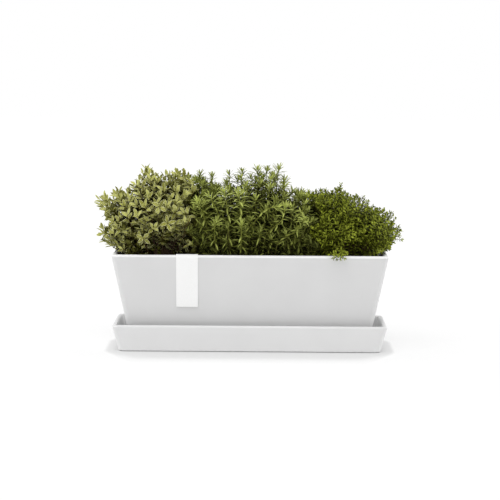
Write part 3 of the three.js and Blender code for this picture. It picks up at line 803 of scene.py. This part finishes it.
def tips(plant, side, random):
    """The tip of every shoot but the branches, the way that it points, its leaf size and its depth, and
    whether its tip is closed."""
    for place, heading, size, *spread_out in plant["sprigs"]:
        yield np.array(place, float), unit(heading), size, 0.0, not spread_out
    centre = np.array([plant["centre"][0], 0.0, plant["centre"][1]])
    outside = spaced(plant, side, surface_places(plant, random), plant["spacing"])
    beside = by_neighbour(surface_places(plant, random), side)
    outside = np.vstack([outside, spaced(plant, side, beside, SEAM_CLOSER * plant["spacing"])])
    inside = spaced(plant, side, volume_places(plant, random), plant["spacing"] * plant["sparser"])
    seam = spaced(plant, side, by_neighbour(volume_places(plant, random), side), SEAM_SPACING)
    below = spaced(plant, side, low_places(side, random), LOW_SPACING)
    for places, hidden in ((outside, False), (inside, True), (seam, True), (below, True)):
        facing = unit((places - centre) / np.array([FACING_X, plant["depth"], FACING_Z]) ** 2)
        for place, face, share in zip(places, facing, dome_share(plant, places)):
            lean = face * plant["outward"] + UP * (1 - plant["outward"])
            heading = unit(lean + random.normal(0, WANDER, 3))
            if hidden:
                yield place, heading, 1.0, max(0.25, 1.0 - 0.8 * share), True
            else:
                clump = CLUMP * fractal(Vector(place / CLUMP_SIZE), 1.0, 2.0, 2)
                place = place + face * (clump - CLUMP_SINK + random.uniform(-1.5, 1.5))
                yield place, heading, 1.0, 0.0, True


def root_place(plant, side, random, x, y):
    """Where the stem of a shoot that ends at x and y leaves the soil."""
    low, high = soil_box(side)
    middle, reach = (low[0] + high[0]) / 2, (high[0] - low[0]) / 2 - STEM_EDGE
    share_x, share_y = plant["rooting"]
    foot_x = middle + np.clip(share_x * (x - middle), -reach, reach) + random.normal(0, 1.2)
    foot_y = np.clip(share_y * y + random.normal(0, 1.5), -30, 30)
    return np.array([foot_x, foot_y, high[2] - rim_height / MM - STEM_FOOT])


def stem_line(plant, side, random, tip, heading):
    """A stem's points: up from the soil, then out to the tip, on the plant's own side."""
    root = root_place(plant, side, random, tip[0], tip[1])
    reach = np.linalg.norm(tip - root)
    rise = root + np.array([0, 0, HANDLE * reach]) + LEAN * (tip - root)
    arrive = tip - heading * HANDLE * reach + random.normal(0, 1.5, 3)
    line = bezier(root, rise, arrive, tip, max(8, int(reach / 4)))
    left, right = (meeting_line(line[:, 1], line[:, 2], x) for x in (LEFT_MEETING, RIGHT_MEETING))
    if side != "right":
        line[:, 0] = np.minimum(line[:, 0], (left if side == "left" else right) - SHOOT_GAP)
    if side != "left":
        line[:, 0] = np.maximum(line[:, 0], (right if side == "right" else left) + SHOOT_GAP)
    return line


def stems(plant, side, random):
    """Every stem of a plant: its line, how much of it has leaves, their size, its depth, its freshness and
    painted light, and whether its tip is closed."""
    for points in plant["branches"]:
        forward = np.linspace(BRANCH_FROM, BRANCH_TO, len(points))
        places = [(x, y, z) for (x, z), y in zip(points, forward)]
        root = root_place(plant, side, random, points[0][0], BRANCH_FROM)
        line = rounded([root, (root + places[0]) / 2, *places])
        leafy = np.sum(np.linalg.norm(np.diff(places, axis=0), axis=1)) + 4
        yield line, leafy, 1.0, 0.0, FRESH_AND_LIT, True
    for tip, heading, large, depth, closed in tips(plant, side, random):
        line = stem_line(plant, side, random, tip, heading)
        leafy = plant["leafy"] * random.uniform(0.85, 1.15) * (1 - 0.5 * (depth > 0))
        yield line, leafy, large, depth, 0.0, closed


LEAF_KEYS = "base", "along", "across", "length", "width", "bend", "fold", "tone", "depth", "stem"


def grow(plant, side, seed):
    """The stems and leaves of one plant."""
    random = np.random.default_rng(seed)
    leaf = plant["leaf"]
    middle_tone, fading, brighter, uneven = plant["tones"]
    inner_width = plant["inner_width"]
    lines, rows = [], []
    for line, leafy, large, depth, fresh_and_lit, closed in stems(plant, side, random):
        run = np.append(0, np.cumsum(np.linalg.norm(np.diff(line, axis=0), axis=1)))
        share = run / run[-1]
        # Painted shade near the rim; a shade below 0 paints light there instead
        shade = plant["shade"] * (1 - np.clip(line[:, 2] / SHADE_HEIGHT, 0, 1)) * (fresh_and_lit == 0)
        tones = np.clip((share - 0.5) + 1.5 * fresh_and_lit - shade, 0, 1) * max(0.0, 1.0 - 1.6 * depth)
        lines.append((line, plant["stem"] * (THICK - TAPER * share), tones))
        tangents = unit(np.gradient(line, axis=0))
        pitch = plant["pitch"] * (INNER_PITCH if depth else 1.0)
        pairs = int(min(leafy, run[-1] * LEAFY_MOST) / pitch)
        twist = random.uniform(0, math.pi)
        at = run[-1]
        for k in range(pairs + 1):
            age = k / max(pairs, 1)
            spot = np.array([np.interp(at, run, line[:, i]) for i in range(3)])
            axis = unit(np.array([np.interp(at, run, tangents[:, i]) for i in range(3)]))
            u = unit(np.cross(axis, ASKEW))
            v = np.cross(axis, u)
            young = closed * max(0.0, 1 - OPENING * k)
            lean = math.radians(plant["open"][0] + (plant["open"][1] - plant["open"][0]) * young)
            size = large * (1 - plant["smaller"] * young) * (1 - AGEING * age)
            crowded = plant["crowded"] if k < CROWDED_ROWS else 1
            around = INNER_AROUND if depth else plant["around"] * crowded
            for turn in range(around):
                angle = twist + k * math.pi / around + turn * 2 * math.pi / around
                angle += random.normal(0, TURN_WANDER)
                out = math.cos(angle) * u + math.sin(angle) * v
                tilt = lean + random.normal(0, TILT_WANDER)
                scale = size * random.uniform(0.85, 1.12)
                wider = inner_width[0] + inner_width[1] * depth if depth else 1.0
                bend = leaf["bend"] * random.uniform(0.3, 1.7) * (1 - 0.8 * young)
                fold = leaf["fold"] * random.uniform(0.5, 1.5)
                faded = fading * age * (1 - fresh_and_lit / FRESH_AND_LIT / 2)
                tone = middle_tone - faded + brighter * young - INNER_PAINTED_SHADE * depth + fresh_and_lit
                tone = np.clip(tone + random.normal(0, uneven) - np.interp(at, run, shade), 0, 1)
                base = spot + out * plant["stem"] * 0.5
                along = math.cos(tilt) * axis + math.sin(tilt) * out
                length, width = leaf["length"] * scale, leaf["width"] * scale * wider
                stem = len(lines) - 1
                rows.append((base, along, np.cross(out, axis), length, width, bend, fold, tone, depth, stem))
            at -= pitch * (0.5 + 0.5 * min(1.0, k / CROWDED_ROWS))
            if at <= LEAFLESS:
                break
    leaves = {key: np.array(value) for key, value in zip(LEAF_KEYS, zip(*rows))}
    leaves["across"] = unit(leaves["across"])
    return lines, leaves


def turn_back(leaves, side):
    """Leaves that would reach over to a neighbour grow the other way instead."""
    tip = leaves["base"] + leaves["along"] * (leaves["length"] + 1.0)[:, None]
    over = ~own_side(tip, side, TURN_GAP)
    for key in ("along", "across"):
        leaves[key][over] *= (-1.0, 1.0, 1.0)
    leaves["across"][over] *= -1.0


def keep_clear(leaves, side):
    """Leaves that stay off the pot, out of the soil and on their own plant's side of each neighbour, and
    which stems still have most of theirs."""
    tip = leaves["base"] + leaves["along"] * leaves["length"][:, None]
    sweep = leaves["across"] * leaves["width"][:, None] / 2
    middle = (leaves["base"] + tip) / 2
    fine = np.ones(len(tip), bool)
    soil = (soil_height - rim_height) / MM
    for spot in (leaves["base"], tip, middle - sweep, middle + sweep):
        x, y, z = spot.T
        inside = (np.abs(x) < MOUTH_X) & (np.abs(y) < MOUTH_Y)
        fine &= (z > OVER_RIM) | (inside & (z > soil + OVER_SOIL)) | ((y < OVERHANG) & (z > OVERHANG_FOOT))
        fine &= own_side(spot, side, LEAF_GAP)
    before = np.bincount(leaves["stem"])
    after = np.bincount(leaves["stem"][fine], minlength=len(before))
    leafy = after > BARE * before
    leafy[: len(PLANTS[side]["branches"]) + len(PLANTS[side]["sprigs"])] = True
    fine &= leafy[leaves["stem"]]
    return {key: value[fine] for key, value in leaves.items()}, leafy


def make_plant(side, seed, outer_finish, inner_finish, stem_finish):
    """One plant's pieces: its stems, the leaves of its outer shoots and those of its inner ones."""
    plant = PLANTS[side]
    lines, leaves = grow(plant, side, seed)
    turn_back(leaves, side)
    leaves, leafy = keep_clear(leaves, side)
    to_rim = np.array([0.0, 0.0, rim_height])
    leaves["base"] = leaves["base"] * MM + to_rim
    for key in ("length", "width"):
        leaves[key] = leaves[key] * MM
    name, slot, body = plant["node"], plant["slot"], f"plant_{side}"
    inner = leaves["depth"] > 0
    for part, chosen, shape, finish in (
        ("leaves", ~inner, plant["leaf"]["shape"], outer_finish),
        ("inner_leaves", inner, "small", inner_finish),
    ):
        some = {key: value[chosen] for key, value in leaves.items()}
        new_piece(f"{name}_{part}", leaf_mesh(f"{name}_{part}", some, shape), body, slot, name, finish)
    kept = [stem for stem, keep in zip(lines, leafy) if keep]
    grown = [(line * MM + to_rim, radii * MM, tones) for line, radii, tones in kept]
    new_piece(f"{name}_stems", stem_mesh(f"{name}_stems", grown), body, slot, name, stem_finish)


# The floor, the light and the camera

# To the camera the white floor shows mostly its own light, all of it beyond FLOOR_FAR metres. That glow
# carries
# a painted shadow: it is weaker where the object hides the sky within SHADOW_REACH, and beyond its ends
# (BESIDE, in metres from the middle) within END_REACH. SHADOW_TONES: how bright it is, by how much of the
# sky is open.
# The floor sits FLOOR_DROP low, so that the painted shadow shows as a dark line under the saucer's rounded
# foot
FLOOR_HALF, FLOOR_DROP = 6.0, 0.4 * MM
FLOOR_PAINT, FLOOR_GLOW = (0.9, 0.9, 0.9, 1.0), 0.7
FLOOR_NEAR, FLOOR_FAR = 0.15, 0.4
SHADOW_REACH, END_REACH = 0.066, 0.014
BESIDE = 0.1, 0.135
SHADOW_TONES = ((0.1, 0.1), (0.5, 0.72), (0.84, 0.78), (0.94, 0.94), (1.0, 1.04))
SKY_SAMPLES = 12


def seen_directly(tree, share=1.0):
    """share for the rays that the camera, a reflection or a clear body sends, else 0."""
    path = node(tree, "ShaderNodeLightPath")
    total = path.outputs["Is Camera Ray"]
    for key in ("Is Glossy Ray", "Is Transmission Ray"):
        total = maths(tree, "ADD", total, path.outputs[key])
    return maths(tree, "MULTIPLY", total, share, clamp=True)


def make_floor():
    """A white floor without an edge in view, with the object's shadow partly lit and partly painted into its
    glow.
    """
    corners = [(x * FLOOR_HALF, y * FLOOR_HALF, 0) for x, y in ((-1, -1), (1, -1), (1, 1), (-1, 1))]
    mesh = mesh_of("floor", corners, [(0, 1, 2, 3)])
    floor = bpy.data.objects.new("floor", mesh)
    floor.location.z = -FLOOR_DROP
    put_in_scene(floor)
    made = bpy.data.materials.new("floor")
    made.use_nodes = True
    tree = made.node_tree
    tree.nodes.clear()
    paint = node(tree, "ShaderNodeBsdfDiffuse", {"Color": FLOOR_PAINT})
    place = own_place(tree)
    sideways = maths(tree, "ABSOLUTE", part_of(tree, place, "X"))
    reach = spread(tree, sideways, SHADOW_REACH, END_REACH, *BESIDE, kind="SMOOTHSTEP")
    # Painted shadow: the glow darkens where the object hides the sky
    sky = node(tree, "ShaderNodeAmbientOcclusion", {"Distance": reach}, samples=SKY_SAMPLES).outputs["AO"]
    shown = ramp(tree, sky, [(position, (tone,) * 3) for position, tone in SHADOW_TONES])
    glow = node(tree, "ShaderNodeEmission", {"Color": shown, "Strength": 1.0})
    away = node(tree, "ShaderNodeVectorMath", {0: place}, operation="LENGTH").outputs["Value"]
    share = spread(tree, away, FLOOR_GLOW, 1.0, FLOOR_NEAR, FLOOR_FAR, kind="SMOOTHSTEP")
    inputs = {0: seen_directly(tree, share), 1: paint.outputs[0], 2: glow.outputs[0]}
    mix = node(tree, "ShaderNodeMixShader", inputs)
    node(tree, "ShaderNodeOutputMaterial", {"Surface": mix.outputs[0]})
    mesh.materials.append(made)


def make_world(strength):
    """Even white light of a strength, in front of a backdrop that shows white."""
    world = bpy.data.worlds.new("studio")
    bpy.context.scene.world = world
    world.use_nodes = True
    tree = world.node_tree
    tree.nodes.clear()
    light, backdrop = (
        node(tree, "ShaderNodeBackground", {"Color": (*WHITE, 1.0), "Strength": each}).outputs[0]
        for each in (strength, 1.0)
    )
    mix = node(tree, "ShaderNodeMixShader", {0: seen_directly(tree), 1: light, 2: backdrop})
    node(tree, "ShaderNodeOutputWorld", {"Surface": mix.outputs[0]})


def make_lamp(name, place, target, size, power):
    """A lamp of a size in metres and a power in watts, aimed at a target."""
    lamp = bpy.data.lights.new(name, "AREA")
    lamp.shape = "RECTANGLE"
    lamp.size, lamp.size_y = size
    lamp.energy = power
    holder = bpy.data.objects.new(name, lamp)
    holder.location = place
    direction = Vector(target) - Vector(place)
    holder.rotation_euler = direction.to_track_quat("-Z", "Y").to_euler()
    put_in_scene(holder)


def make_camera():
    """The photograph's camera."""
    camera = bpy.data.cameras.new("camera")
    camera.sensor_width = SENSOR_WIDTH
    camera.lens = SENSOR_WIDTH * FOCAL_PIXELS / PHOTO_PIXELS
    camera.clip_start, camera.clip_end = 0.05, 60.0
    yaw, pitch, roll = CAMERA_YAW, CAMERA_PITCH, CAMERA_ROLL
    forward = Vector((math.sin(yaw) * math.cos(pitch), math.cos(yaw) * math.cos(pitch), -math.sin(pitch)))
    level = Vector((math.cos(yaw), -math.sin(yaw), 0.0))
    upright = level.cross(forward)
    right = math.cos(roll) * level + math.sin(roll) * upright
    above = math.cos(roll) * upright - math.sin(roll) * level
    turn = Matrix((right, above, -forward)).transposed().to_4x4()
    holder = bpy.data.objects.new("camera", camera)
    holder.matrix_world = Matrix.Translation(CAMERA_PLACE) @ turn
    put_in_scene(holder)
    bpy.context.scene.camera = holder


WORLD_LIGHT = 0.41
LAMPS = (
    ("softbox", (-0.3, -0.75, 1.4), (0, 0, 0.1), (1.1, 0.8), 11.0),
    ("front_fill", (0.3, -2.3, 0.5), (0, 0, 0.08), (1.6, 0.8), 9.6),
    ("overhead", (0, 0.5, 1.5), (0, 0, 0.09), (1.6, 0.7), 6.0),
    ("left_edge", (-1.5, 0.2, 0.16), (0, 0, 0.06), (0.8, 0.3), 7.0),
    ("right_edge", (1.5, 0.2, 0.16), (0, 0, 0.06), (0.8, 0.3), 7.0),
)
# For each plant: its leaves' colours from old to young, their margin's, and its stems' from woody to green
COLOURS = {
    "left": (
        "leaves_pale",
        [(0.0, (0.025, 0.022, 0.002)), (0.45, (0.2, 0.198, 0.026)), (1.0, (0.52, 0.53, 0.16))],
        (0.68, 0.68, 0.34), ((0.05, 0.028, 0.012), (0.24, 0.2, 0.05)),
    ),
    "middle": (
        "leaves_narrow",
        [(0.0, (0.016, 0.019, 0.002)), (0.45, (0.145, 0.163, 0.026)), (1.0, (0.49, 0.55, 0.14))],
        None, ((0.05, 0.04, 0.012), (0.28, 0.31, 0.05)),
    ),
    "right": (
        "leaves_green",
        [(0.0, (0.021, 0.026, 0.001)), (0.45, (0.12, 0.142, 0.009)), (1.0, (0.39, 0.45, 0.05))],
        None, ((0.05, 0.03, 0.012), (0.16, 0.18, 0.02)),
    ),
}
# The inner leaves take a darker copy of the outer leaves' material: painted shade inside the plant
INNER = 0.42  # how bright the inner leaves are beside the outer ones
OUTER_SHINE, INNER_SHINE = 0.08, 0.05
PLANT_SEED, SOIL_SEED, ROOT_SEED = 11, 40, 50

make_camera()
make_floor()
make_world(WORLD_LIGHT)
for lamp in LAMPS:
    make_lamp(*lamp)

smooth_shell("pot", "pot_shell", "pot", "pot_plastic", plastic("pot_plastic", POT_GREY, rim_highlight=True))
smooth_shell("saucer", "saucer_shell", "saucer", "saucer_plastic", plastic("saucer_plastic", SAUCER_GREY_WITH_PAINTED_LIGHT))
make_label(card())
soil_finish, root_finish = compost(), root_bark()
for number, side in enumerate(PLANTS):
    make_root_ball(side, f"plant_{side}", soil_finish, SOIL_SEED + number)
    make_roots(side, f"plant_{side}", root_finish, ROOT_SEED + number)
for number, (side, (name, tones, margin, stem_tones)) in enumerate(COLOURS.items()):
    outer = leaf_material(name, tones, margin, OUTER_SHINE)
    inner = leaf_material(f"{name}_inner", shaded(tones, INNER), None, INNER_SHINE)
    make_plant(side, PLANT_SEED + number, outer, inner, stem_material(f"stems_{side}", *stem_tones))

bpy.context.scene.view_settings.view_transform = "Standard"
